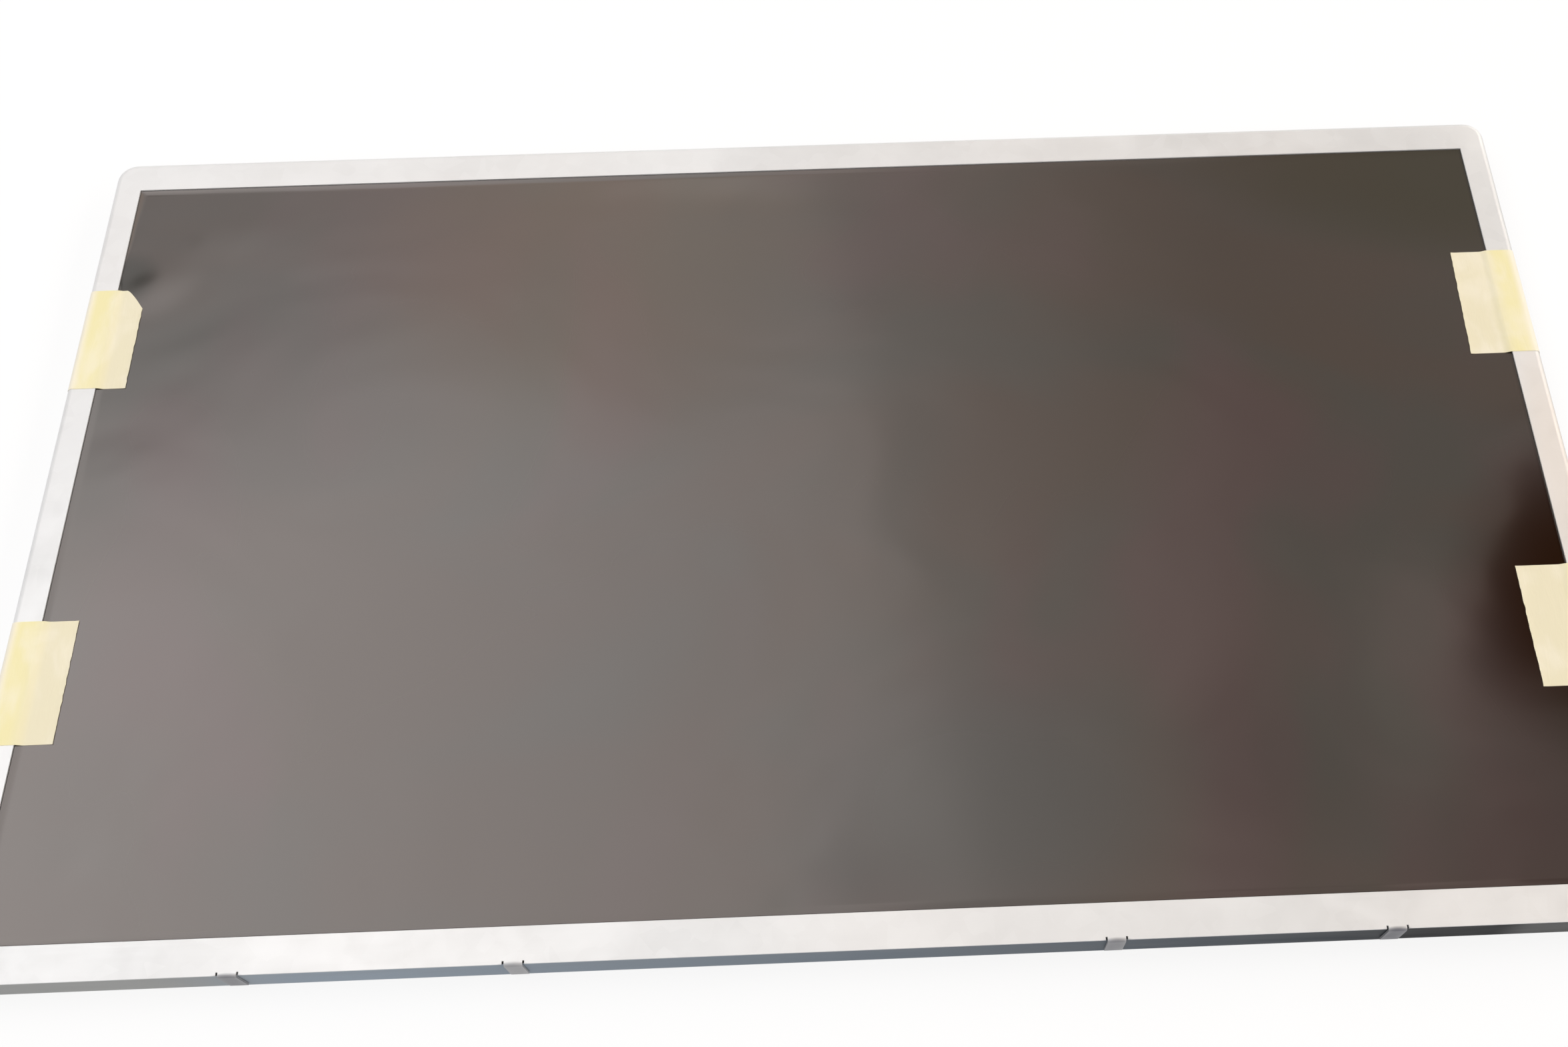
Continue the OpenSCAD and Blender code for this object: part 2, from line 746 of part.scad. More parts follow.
// Tail of the light sources: down through the floor and flat along its rear face
module led_tail() {
    lay_z = rear_depth - tail_t;
    color("orange") {
        bar([tail_x - tail_w / 2, led_y, lay_z],
            [tail_x + tail_w / 2, led_y + tail_t, led_low_z - slip]);
        bar([tail_x - tail_w / 2, led_y, lay_z],
            [tail_x + tail_w / 2, led_y + tail_l, rear_depth]);
    }
}

// Socket with a flat mouth towards +Y, hanging under the face at height z
module socket(w, d, h, z, mouth, wall) {
    difference() {
        bar([-w / 2, -d, z - h], [w / 2, 0, z]);
        bar([wall - w / 2, wall - d, z - (h + mouth) / 2],
            [w / 2 - wall, over, z - (h - mouth) / 2]);
        // Keying notch in the lower wall
        bar([-w / 6, -d / 3, z - h - over], [w / 6, over, z - h / 2]);
    }
}

// Row of contacts on the roof of a socket
module contacts(count, w, d, z, t) {
    pitch = w / count;
    for (i = [0:count - 1])
        translate([(i - (count - 1) / 2) * pitch, 0, 0])
            bar([-pitch / 4, -d, z - t], [pitch / 4, -0.6, z]);
}

light_socket_y = led_y + tail_l;
light_socket_d = 5;
light_mouth = 1.2;
signal_mouth = 0.8;
contact_t = 0.15;

module backlight_socket() {
    color("ivory") translate([tail_x, light_socket_y, 0])
        socket(light_socket_w, light_socket_d, light_socket_h, rear_depth - tail_t,
               light_mouth, 0.6);
}

module backlight_contacts() {
    roof = rear_depth - tail_t - (light_socket_h - light_mouth) / 2;
    color("gold") translate([tail_x, light_socket_y, 0])
        contacts(6, light_socket_w - 2.4, light_socket_d - 0.6, roof, contact_t);
}

// Sloping sheet that joins the floor of the tray to a raised flat, measured from the
// axis of a corner of that flat
module slope_section(r, depth) {
    z = rear_depth - depth;
    lap = r + depth + slip;
    polygon([[r, z], [r + depth, rear_depth], [lap, rear_depth], [lap, floor_z],
             [r + depth, floor_z], [r, z + tray_t]]);
}

// Raised flat with sloping sides, pressed out of the floor to the rear
module pressed_flat(half_x, half_y, r) {
    linear_extrude(tray_t) outline(half_x, -half_y, half_y, r);
    rim(half_x, -half_y, half_y, r, half_x - r) slope_section(r, rear_depth);
}

module pressed_flat_hole(half_x, half_y, r) {
    d = rear_depth;
    translate([0, 0, d - over]) linear_extrude(tray_t + 2 * over)
        outline(half_x + d, -half_y - d, half_y + d, r + d);
}

// Every pressed rib and the raised field, each drawn by the child of its kind
module at_ribs() {
    for (s = [-1, 1]) {
        translate([s * (top_rib_l / 2 + 18), rib_top_y, 0]) children(0);
        translate([s * rib_side_x, rib_side_y, 0]) rotate(90) children(1);
        for (t = [-1, 1]) translate([s * slant_x, rib_side_y + t * slant_y, 0])
            rotate(s * t * slant_angle) children(2);
    }
    translate([0, rib_side_y, 0]) children(3);
}

module pressed_ribs() {
    at_ribs() {
        pressed_flat(top_rib_l / 2, rib_w / 2, rib_r);
        pressed_flat(side_rib_l / 2, rib_w / 2, rib_r);
        pressed_flat(slant_rib_l / 2, rib_w / 2, rib_r);
        pressed_flat(field_w / 2, field_h / 2, 2 * rib_r);
    }
}

module pressed_rib_holes() {
    at_ribs() {
        pressed_flat_hole(top_rib_l / 2, rib_w / 2, rib_r);
        pressed_flat_hole(side_rib_l / 2, rib_w / 2, rib_r);
        pressed_flat_hole(slant_rib_l / 2, rib_w / 2, rib_r);
        pressed_flat_hole(field_w / 2, field_h / 2, 2 * rib_r);
    }
}

// Round boss with a threaded hole, pressed out of the floor to the rear
module screw_boss(at, depth, r) {
    z = rear_depth - depth;
    hole = screw_r + 0.02;
    translate([at.x, at.y, 0]) rotate_extrude() {
        translate([hole, z]) square([r - hole, tray_t]);
        slope_section(r, depth);
    }
}

module screw_boss_hole(at, depth, r) {
    translate([at.x, at.y, rear_depth - over])
        cylinder(r = r + depth, h = tray_t + 2 * over);
}

// Fold and wall of the tray, measured from the axis of a corner
module tray_section() {
    x = corner_r - tray_in;
    translate([x - tray_fold_r - slip, rear_depth]) square([slip, tray_t]);
    translate([x - tray_fold_r, rear_depth + tray_fold_r]) mirror([0, 1])
        quarter_ring(tray_fold_r, tray_t);
    translate([x - tray_t, rear_depth + tray_fold_r])
        square([tray_t, tray_wall_h - tray_fold_r]);
}

// Fold and wall along the lower edge of the tray floor
module tray_lower_wall() {
    r = tray_lower_fold_r;
    translate([-led_half, tray_edge_y, 0]) rotate(270) run(2 * led_half) {
        translate([-r - slip, rear_depth]) square([slip, tray_t]);
        translate([-r, rear_depth + r]) mirror([0, 1]) quarter_ring(r, tray_t);
        translate([-tray_t, rear_depth + r])
            square([tray_t, ledge_z - slip - rear_depth - r]);
    }
}

module rear_tray() {
    flat = tray_in + tray_fold_r;
    r = corner_r - flat;
    side = out_y - corner_r;
    color("silver") difference() {
        union() {
            difference() {
                union() {
                    translate([0, 0, rear_depth]) linear_extrude(tray_t) {
                        translate([0, out_y - flat]) mirror([0, 1])
                            upper_rounded(out_x - flat, out_y - flat - tray_edge_y
                                          - tray_lower_fold_r, r);
                    }
                    tray_rim(side);
                    tray_lower_wall();
                }
                pressed_rib_holes();
                for (at = board_screws_at) screw_boss_hole(at, board_lift, board_boss_r);
                for (at = ears_at) screw_boss_hole(at, ear_depth, ear_boss_r);
            }
            pressed_ribs();
            for (at = board_screws_at) screw_boss(at, board_lift, board_boss_r);
            for (at = ears_at) screw_boss(at, ear_depth, ear_boss_r);
            // Drawn collars of the threaded holes
            for (s = [-1, 1], y = mounts_y)
                translate([s * (out_x - tray_in), y, mount_z]) rotate([0, s * -90, 0])
                    cylinder(r = mount_collar / 2, h = tray_t + mount_collar_l);
        }
        for (s = [-1, 1], y = mounts_y)
            translate([s * (out_x - tray_in), y, mount_z]) rotate([0, s * -90, 0])
                translate([0, 0, -over])
                    cylinder(r = mount_bore / 2, h = tray_t + mount_collar_l + 2 * over);
        latch_windows(out_x - frame_in - over, out_x - tray_in + over,
                      out_y - frame_in - over, out_y - tray_in + over, lug_h + lug_gap);
        // Slot for the tail of the light sources
        bar([tail_x - tail_w / 2 - over, led_y - 2 * slip, rear_depth - over],
            [tail_x + tail_w / 2 + over, led_y + tail_t + 2 * slip, floor_z + over]);
    }
}

// Rectangle from the X axis up, whose two corners on the X axis are rounded
module upper_rounded(half_x, height, r) {
    translate([-half_x + r, 0]) square([2 * (half_x - r), height]);
    translate([-half_x, r]) square([2 * half_x, height - r]);
    for (x = [-half_x + r, half_x - r]) translate([x, r]) circle(r);
}

// Walls of the tray on its left, top and right side
module tray_rim(side) {
    x = out_x - corner_r;
    low = corner_r - out_y;
    for (s = [0, 1]) mirror([s, 0, 0]) {
        translate([x, low, 0]) run(side - low) tray_section();
        translate([x, side, 0]) rotate_extrude(angle = 90) tray_section();
    }
    translate([x, side, 0]) rotate(90) run(2 * x) tray_section();
}

module board_insulator() {
    z = rear_depth - insulator_t;
    color("black") difference() {
        layer(board_w / 2, board_bottom + 1.5, board_top, z, insulator_t);
        for (at = board_screws_at) translate([at.x, at.y, z - over])
            cylinder(r = board_boss_r + board_lift + 0.3, h = insulator_t + 2 * over);
    }
}

module control_board() {
    color("darkgreen") difference() {
        layer(board_w / 2, board_bottom, board_top, board_z, board_t);
        for (at = board_screws_at) translate([at.x, at.y, board_z - over])
            cylinder(r = screw_r + 0.15, h = board_t + 2 * over);
    }
}

// Chip under the board, with its middle at a place on the board
module chip(x, y, w, d, h) {
    bar([x - w / 2, board_bottom + y - d / 2, board_z - h],
        [x + w / 2, board_bottom + y + d / 2, board_z]);
}

module timing_chip() { color("#222222") chip(timing_x, timing_y, 13, 13, 1); }

module memory_chip() { color("#222222") chip(memory_x, memory_y, 5, 4, 0.8); }

module power_chip() { color("#222222") chip(board_w / 2 - power_end, power_y, 6, 6, 0.9); }

module power_coil() {
    x = board_w / 2 - coil_end;
    base = coil_r + 0.3;
    color("dimgray") {
        chip(x, power_y, 2 * base, 2 * base, 0.3);
        translate([x, board_bottom + power_y, board_z - 1.1]) cylinder(r = coil_r, h = 0.9);
    }
}

module board_capacitors() {
    color("tan") for (i = [0:5]) {
        chip(left_caps_end - board_w / 2 + left_caps_pitch * i, left_caps_y, 2, 1.2, 0.8);
        chip(board_w / 2 - right_caps_end + right_caps_pitch * i, right_caps_y, 1.6, 0.8, 0.7);
    }
}

module signal_socket() {
    color("ivory") translate([socket_x, board_top, 0])
        socket(socket_w, socket_d, socket_h, board_z, signal_mouth, 0.9);
}

module signal_contacts() {
    roof = board_z - (socket_h - signal_mouth) / 2;
    color("gold") translate([socket_x, board_top, 0])
        contacts(socket_contacts, socket_w - 4, socket_d - 0.9, roof, contact_t);
}

// Screw whose head hangs under the face at height z, up to just inside the tray floor
module small_screw(at, z) {
    tip = floor_z - slip;
    translate([at.x, at.y, 0]) difference() {
        union() {
            translate([0, 0, z - head_h]) cylinder(r = head_r, h = head_h);
            translate([0, 0, z - over]) cylinder(r = screw_r, h = tip - z + over);
        }
        // Cross recess
        for (a = [0, 90]) rotate(a)
            bar([-head_r * 0.6, -0.2, z - head_h - over],
                [head_r * 0.6, 0.2, z - head_h / 2]);
    }
}

module board_screws() {
    color("silver") for (at = board_screws_at) small_screw(at, board_z);
}

module cover_screws() {
    color("silver") for (at = ears_at) small_screw(at, ear_z);
}

// Folded cover over the control board and the tail of the light sources
module board_cover() {
    wall_top = rear_depth - slip;
    low_wall_top = board_z - flex_t - slip;
    r = 2;
    color("lightgray") {
        difference() {
            linear_extrude(wall_top) outline(cover_x, frame_y, cover_top, r);
            translate([0, 0, cover_t]) linear_extrude(wall_top)
                outline(cover_x - cover_t, frame_y + cover_t, cover_top - cover_t, r - cover_t);
            bar([-cover_x - over, frame_y - over, low_wall_top],
                [cover_x + over, board_bottom, wall_top + over]);
            // Windows over the two sockets
            bar([socket_x - socket_w / 2 - window_side, board_top - socket_d - 1, -over],
                [socket_x + socket_w / 2 + window_side, cover_top + over, wall_top + over]);
            bar([tail_x - light_socket_w / 2 - window_side, light_socket_y - light_socket_d - 1,
                 -over],
                [tail_x + light_socket_w / 2 + window_side, cover_top + over, wall_top + over]);
            // Gaps in the upper wall over the ears
            for (at = ears_at)
                bar([at.x - ear_w / 2 - over, cover_top - cover_t - over, ear_z + cover_t],
                    [at.x + ear_w / 2 + over, cover_top + over, wall_top + over]);
        }
        for (at = ears_at) difference() {
            bar([at.x - ear_w / 2, cover_top - cover_t, ear_z],
                [at.x + ear_w / 2, cover_top + ear_l, ear_z + cover_t]);
            translate([at.x, at.y, ear_z - over])
                cylinder(r = screw_r + 0.15, h = cover_t + 2 * over);
        }
    }
}

module edge_tape() {
    half = bezel_end_x - edge_tape_end;
    color("#30343a") bar([-half, edge_tape_y, cover_t], [half, frame_y, flange_z - slip]);
}

// Section of a film tape: over the film, up to the bezel face, round the fold and down
module tape_section(reach) {
    fold_x = out_x - bezel_fold_r;
    foot_x = open_x - tape_ramp;
    translate([open_x - reach, film_top]) square([reach - tape_ramp, tape_t]);
    polygon([[foot_x, film_top], [open_x, module_t], [open_x, module_t + tape_t],
             [foot_x, film_top + tape_t]]);
    translate([open_x, module_t]) square([fold_x - open_x, tape_t]);
    translate([fold_x, module_t - bezel_fold_r])
        quarter_ring(bezel_fold_r + tape_t, tape_t);
    translate([out_x, module_t - tape_drop])
        square([tape_t, tape_drop - bezel_fold_r]);
}

// Film tape on the right side, from a lower edge y up to y + h
module film_tape(y, h, reach, skew, cut) {
    inner = open_x - reach;
    outer = out_x + 1;
    color("moccasin") intersection() {
        translate([0, y, 0]) run(h) tape_section(reach);
        linear_extrude(module_t + 1)
            polygon([[inner, y], [outer, y], [outer, y + h], [inner + skew + cut, y + h],
                     [inner + skew * (1 - cut / h), y + h - cut]]);
    }
}

module tape_left_upper() {
    mirror([1, 0, 0]) film_tape(left_upper_y, left_upper_h, left_upper_reach, 0, left_upper_cut);
}

module tape_left_lower() {
    mirror([1, 0, 0]) film_tape(left_lower_y, left_lower_h, left_lower_reach, 0, 0);
}

module tape_right_upper() {
    film_tape(right_upper_y, right_upper_h, right_upper_reach, right_upper_skew, 0);
}

module tape_right_lower() {
    film_tape(right_lower_y, right_lower_h, right_lower_reach, 0, 0);
}

front_bezel();
protective_film();
front_polarizer();
color_filter_glass();
tft_glass();
rear_polarizer();
cell_seat();
cushion_left();
cushion_right();
cushion_top();
cushion_bottom();
source_flex(1);  // source_flex_1
source_flex(2);  // source_flex_2
source_flex(3);  // source_flex_3
source_flex(4);  // source_flex_4
driver_chip(1);  // driver_chip_1
driver_chip(2);  // driver_chip_2
driver_chip(3);  // driver_chip_3
driver_chip(4);  // driver_chip_4
mid_frame();
upper_prism_sheet();
lower_prism_sheet();
diffuser_sheet();
light_guide();
reflector_sheet();
led_board();
led_packages();
thermal_tape();
led_tail();
backlight_socket();
backlight_contacts();
rear_tray();
board_insulator();
control_board();
timing_chip();
memory_chip();
power_chip();
power_coil();
board_capacitors();
signal_socket();
signal_contacts();
board_screws();
board_cover();
cover_screws();
edge_tape();
tape_left_upper();
tape_left_lower();
tape_right_upper();
tape_right_lower();
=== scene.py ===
"""A bare LCD module, lying face up: camera, soft studio, finishes and the thin soft pieces."""
import json
import math

import bpy
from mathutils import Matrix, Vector, noise


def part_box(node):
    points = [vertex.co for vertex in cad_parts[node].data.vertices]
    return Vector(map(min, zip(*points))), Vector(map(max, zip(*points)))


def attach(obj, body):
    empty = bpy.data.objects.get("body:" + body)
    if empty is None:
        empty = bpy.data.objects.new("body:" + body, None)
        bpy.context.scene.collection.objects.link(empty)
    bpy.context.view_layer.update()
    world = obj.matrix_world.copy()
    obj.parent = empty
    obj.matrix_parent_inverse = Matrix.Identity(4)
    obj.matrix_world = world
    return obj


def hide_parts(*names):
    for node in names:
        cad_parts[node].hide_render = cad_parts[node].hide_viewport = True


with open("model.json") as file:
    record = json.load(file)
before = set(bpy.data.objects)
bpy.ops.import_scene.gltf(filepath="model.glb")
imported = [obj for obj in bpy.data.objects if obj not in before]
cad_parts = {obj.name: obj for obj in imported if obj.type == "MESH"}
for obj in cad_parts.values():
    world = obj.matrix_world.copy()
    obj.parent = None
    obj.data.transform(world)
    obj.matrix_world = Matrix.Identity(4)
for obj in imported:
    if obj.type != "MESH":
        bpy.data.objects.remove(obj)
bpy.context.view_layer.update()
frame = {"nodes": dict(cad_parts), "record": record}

NODES = frame["nodes"]
SCENE = bpy.context.scene
MM = 0.001


def box_mm(node):
    """Lower and upper corner of a CAD node's box, in millimetres."""
    return [[v / MM for v in corner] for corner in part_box(node)]


# Sizes in millimetres. X is to the right and Y up the screen.
FILM_LOW, FILM_HIGH = box_mm("protective_film")
FILM_TOP = FILM_HIGH[2]
FILM_T = FILM_HIGH[2] - FILM_LOW[2]
WALL_X, _, FACE_Z = box_mm("front_bezel")[1]   # outside of the wall, and front face
OPENING_X = 206.7             # half the width of the bezel's opening
FOLD_R = 2.0                  # outer radius of the fold between face and wall
EDGE_BREAK = 0.12             # broken edges of the bezel
TAPE_T = 0.12
TAPE_SHEET_T = 0.1            # a little less, so that a tape stays clear of what it covers
TAPE_RAMP = 2.5               # width over which a tape rises from the film to the bezel
TAPE_DROP = 5.0               # how far a tape reaches down below the face
SHARP_ANGLE = math.radians(50)


def between(first, last, count):
    """count + 1 evenly spaced values."""
    return [first + (last - first) * i / count for i in range(count + 1)]


def new_material(name):
    """Material with an editable node tree."""
    material = bpy.data.materials.new(name)
    material.use_nodes = True
    return material


def link(a, b):
    """Joins an output socket to an input socket."""
    b.id_data.links.new(a, b)


class Shader:
    """A node tree under construction. Patterns are in millimetres of the row frame."""

    def __init__(self, tree):
        self.tree = tree
        self.tree.nodes.clear()
        coordinates = self.node("ShaderNodeTexCoord")
        scale = self.node("ShaderNodeVectorMath", operation="SCALE")
        scale.inputs["Scale"].default_value = 1 / MM
        link(coordinates.outputs["Object"], scale.inputs[0])
        self.mm = scale.outputs[0]
        self.x, self.y, self.z = self.split(self.mm)

    def node(self, kind, **settings):
        """Adds a node of a kind, with its settings."""
        made = self.tree.nodes.new(kind)
        for name, value in settings.items():
            setattr(made, name, value)
        return made

    def put(self, value, socket):
        """Sets a socket to a number or colour, or links an output to it."""
        if isinstance(value, bpy.types.NodeSocket):
            link(value, socket)
        elif isinstance(value, (tuple, list)):
            socket.default_value = (*value, 1)[:len(socket.default_value)]
        else:
            socket.default_value = value

    def split(self, vector):
        """The three coordinates of a vector."""
        made = self.node("ShaderNodeSeparateXYZ")
        link(vector, made.inputs[0])
        return made.outputs

    # Numbers

    def math(self, operation, *values, clamp=False):
        """A sum, product or other operation of one or two numbers."""
        made = self.node("ShaderNodeMath", operation=operation, use_clamp=clamp)
        for value, socket in zip(values, made.inputs):
            self.put(value, socket)
        return made.outputs[0]

    def add(self, a, b):
        return self.math("ADD", a, b)

    def times(self, a, b):
        return self.math("MULTIPLY", a, b)

    def span(self, value, low, high, to_low=0.0, to_high=1.0, smooth=True):
        """Maps low..high onto to_low..to_high, held at both ends."""
        made = self.node("ShaderNodeMapRange")
        made.interpolation_type = "SMOOTHSTEP" if smooth else "LINEAR"
        for given, name in ((value, "Value"), (low, "From Min"), (high, "From Max"),
                            (to_low, "To Min"), (to_high, "To Max")):
            self.put(given, made.inputs[name])
        return made.outputs["Result"]

    def changed(self, level, place, share):
        """A level that is larger by a share of itself where place is 1."""
        return self.times(level, self.add(self.times(place, share), 1.0))

    # Patterns

    def stretched(self, size):
        """The millimetre coordinates, divided by a size along each axis."""
        divide = self.node("ShaderNodeVectorMath", operation="DIVIDE")
        link(self.mm, divide.inputs[0])
        divide.inputs[1].default_value = size if isinstance(size, tuple) else (size,) * 3
        return divide.outputs[0]

    def noise(self, size, detail=2, rough=0.5, twist=0.0):
        """Noise from 0 to 1 whose features are about size millimetres."""
        made = self.node("ShaderNodeTexNoise")
        link(self.stretched(size), made.inputs["Vector"])
        made.inputs["Scale"].default_value = 1
        made.inputs["Detail"].default_value = detail
        made.inputs["Roughness"].default_value = rough
        made.inputs["Distortion"].default_value = twist
        return made.outputs["Fac"]

    def vary(self, pattern, low=0.0, high=1.0):
        """Spreads the usual range of a noise over low..high."""
        return self.span(pattern, 0.3, 0.7, low, high)

    def cells(self, size):
        """Flat random value for each crystal of about size millimetres."""
        made = self.node("ShaderNodeTexVoronoi")
        link(self.stretched(size), made.inputs["Vector"])
        made.inputs["Scale"].default_value = 1
        split = self.node("ShaderNodeSeparateColor")
        link(made.outputs["Color"], split.inputs[0])
        return split.outputs[0]

    def spot(self, x, y, radius_x, radius_y, turn=0.0):
        """1 in the middle of a soft ellipse on the XY plane, 0 outside it."""
        c, s = math.cos(math.radians(turn)), math.sin(math.radians(turn))
        dx, dy = self.math("SUBTRACT", self.x, x), self.math("SUBTRACT", self.y, y)
        along = self.add(self.times(dx, c / radius_x), self.times(dy, s / radius_x))
        across = self.math("SUBTRACT", self.times(dy, c / radius_y),
                           self.times(dx, s / radius_y))
        reach = self.add(self.math("POWER", along, 2.0), self.math("POWER", across, 2.0))
        return self.span(reach, 0.0, 1.0, 1.0, 0.0)

    def bump(self, height, distance, strength=1.0, under=None):
        """Normal for a height from 0 to 1 that stands for distance millimetres."""
        made = self.node("ShaderNodeBump")
        made.inputs["Distance"].default_value = distance * MM
        made.inputs["Strength"].default_value = strength
        link(height, made.inputs["Height"])
        if under is not None:
            link(under, made.inputs["Normal"])
        return made.outputs["Normal"]

    # Colours and surfaces

    def mix(self, factor, a, b):
        """Colour a where factor is 0, and b where it is 1."""
        made = self.node("ShaderNodeMix", data_type="RGBA")
        for given, socket in ((factor, made.inputs[0]), (a, made.inputs[6]),
                              (b, made.inputs[7])):
            self.put(given, socket)
        return made.outputs[2]

    def stain(self, colour, other, share, *place):
        """A share of another colour in a soft ellipse."""
        return self.mix(self.times(self.spot(*place), share), colour, other)

    def light(self, colour, strength, kind="ShaderNodeEmission"):
        """Glowing surface, or background, of a colour and strength."""
        made = self.node(kind)
        self.put(colour, made.inputs["Color"])
        self.put(strength, made.inputs["Strength"])
        return made.outputs[0]

    def blend(self, factor, a, b):
        """Surface a where factor is 0, and b where it is 1."""
        made = self.node("ShaderNodeMixShader")
        for given, socket in zip((factor, a, b), made.inputs):
            link(given, socket)
        return made.outputs[0]

    def seen(self):
        """1 for rays from the camera, mirrors and clear pieces, 0 for rays that only light."""
        path = self.node("ShaderNodeLightPath").outputs
        mirrored = self.add(path["Is Camera Ray"], path["Is Glossy Ray"])
        return self.math("ADD", mirrored, path["Is Transmission Ray"], clamp=True)

    def show(self, surface, kind="ShaderNodeOutputMaterial"):
        """Links a surface to the output of the tree."""
        link(surface, self.node(kind).inputs["Surface"])


class Finish(Shader):
    """A material with one Principled shader."""

    def __init__(self, name):
        self.material = new_material(name)
        super().__init__(self.material.node_tree)
        self.surface = self.node("ShaderNodeBsdfPrincipled")
        self.show(self.surface.outputs[0])

    def set(self, **values):
        """Sets sockets of the Principled shader, such as base_color or coat_weight."""
        for name, value in values.items():
            words = name.split("_")
            title = " ".join("IOR" if w == "ior" else w.capitalize() for w in words)
            self.put(value, self.surface.inputs[title])
        return self


# Camera and studio, in metres

def add_camera():
    """The photograph's viewpoint, solved from the four corners of the viewing opening."""
    data = bpy.data.cameras.new("camera")
    data.sensor_fit = "HORIZONTAL"
    data.sensor_width = 36
    data.lens = 37.151
    data.shift_x = -0.0769
    data.clip_start = 0.01
    camera = bpy.data.objects.new("camera", data)
    camera.location = (0.01858, -0.21902, 0.40820)
    camera.rotation_euler = [math.radians(a) for a in (27.7958, 0.0895, -2.2609)]
    SCENE.collection.objects.link(camera)
    SCENE.camera = camera


def add_plane(name, size, place):
    """Flat rectangle of the studio."""
    bpy.ops.mesh.primitive_plane_add(size=1, location=place)
    plane = bpy.context.object
    plane.name = name
    plane.scale = (*size, 1)
    return plane


def add_floor():
    """White floor that keeps the shadow, is pure white far off and is clear from below."""
    below_part = -0.0002
    floor = add_plane("floor", (24, 24), (0, 0, below_part))
    floor.visible_diffuse = False
    material = new_material("floor_white")
    s = Shader(material.node_tree)
    # The patterns of a scaled plane are measured from its place in the room
    place = s.node("ShaderNodeNewGeometry").outputs
    distance = s.node("ShaderNodeVectorMath", operation="LENGTH")
    link(place["Position"], distance.inputs[0])
    white_share = s.span(distance.outputs["Value"], 1.0, 3.5, 0.8, 1.0)
    paint = s.node("ShaderNodeBsdfDiffuse")
    paint.inputs["Color"].default_value = (0.97, 0.97, 0.97, 1)
    lit = s.blend(s.times(s.seen(), white_share), paint.outputs[0],
                  s.light((1, 1, 1), 1.0))
    clear = s.node("ShaderNodeBsdfTransparent")
    s.show(s.blend(place["Backfacing"], lit, clear.outputs[0]))
    floor.data.materials.append(material)


def add_world():
    """White for the camera, mirrors and clear pieces; a plain level for everything else."""
    world = bpy.data.worlds.new("studio")
    world.use_nodes = True
    SCENE.world = world
    s = Shader(world.node_tree)
    level = s.light((0.97, 0.985, 1), 0.55, "ShaderNodeBackground")
    white = s.light((1, 1, 1), 1.0, "ShaderNodeBackground")
    s.show(s.blend(s.seen(), level, white), "ShaderNodeOutputWorld")


# Darker and brighter places of the mirrored ceiling: x, y, radius_x, radius_y and share
CEILING_PLACES = (
    (-0.95, 1.20, 0.80, 0.75, -0.60),
    (-0.84, 0.90, 0.11, 0.10, -0.60),
    (-0.20, 0.88, 0.34, 0.24, -0.18),
    (0.38, 0.28, 0.11, 0.15, -0.30),
    (0.00, 0.18, 0.09, 0.08, -0.25),
    (0.55, 0.37, 0.09, 0.18, 0.50),
    (0.70, 0.20, 0.20, 0.20, -0.55),
)


def canopy_level(s, cupboard):
    """Strength of the canopy. The screen mirrors its x from -0.9 to 0.8, y from 0.1 to 1.1."""
    # Brighter to the left of a slanting edge, and falling off slowly to the right
    slant = s.add(s.x, s.times(s.math("SUBTRACT", s.y, 0.3), 0.16))
    level = s.add(s.span(slant, 0.13, 0.03, 0.39, 0.76),
                  s.span(slant, 0.5, -0.9, 0.0, 1.6, smooth=False))
    for *place, share in CEILING_PLACES:
        level = s.changed(level, s.spot(*place), share)
    level = s.changed(level, cupboard, -0.95)
    # Outside what the screen mirrors: less on the left and in front, a fill on the right
    level = s.times(level, s.span(s.x, -1.35, -0.95, 0.15, 1.0))
    front_left = s.times(s.span(s.y, 0.05, -0.4), s.span(s.x, 0.3, -0.3))
    level = s.changed(level, front_left, -0.3)
    return s.add(level, s.span(s.x, 1.0, 1.2, 0.0, 3.0))


def canopy_tint(s, cupboard):
    """Colour of the canopy: white on the left, warm on the right, brown at the cupboard."""
    warm = s.times(s.span(s.x, -0.3, 0.5), s.span(s.x, 1.1, 0.9))
    warm = s.math("MAXIMUM", warm, s.spot(-0.28, 0.98, 0.36, 0.36))
    tint = s.mix(warm, (0.99, 0.99, 1), (1, 0.89, 0.80))
    tint = s.mix(cupboard, tint, (1, 0.6, 0.4))
    return s.mix(s.span(s.x, 0.9, 1.1), tint, (1, 0.93, 0.85))


def add_canopy():
    """Large diffuser above the table, as uneven as the room that the screen mirrors."""
    canopy = add_plane("canopy", (4.4, 3.8), (0.2, 0.7, 1.1))
    canopy.visible_camera = False
    material = new_material("canopy_light")
    s = Shader(material.node_tree)
    # Its patterns are in metres of the room
    s.x, s.y, s.z = s.split(s.node("ShaderNodeNewGeometry").outputs["Position"])
    side = s.math("SUBTRACT", s.x, s.times(s.y, 0.45))
    cupboard = s.times(s.span(side, 0.415, 0.445),
                       s.times(s.span(s.y, 0.66, 0.60), s.span(s.y, 0.32, 0.37)))
    s.show(s.light(canopy_tint(s, cupboard), canopy_level(s, cupboard)))
    canopy.data.materials.append(material)


# Finishes. Their sizes and places are in millimetres.

def shaded(colour, share):
    """A lighter or darker version of a colour."""
    return tuple(min(1, c * share) for c in colour)


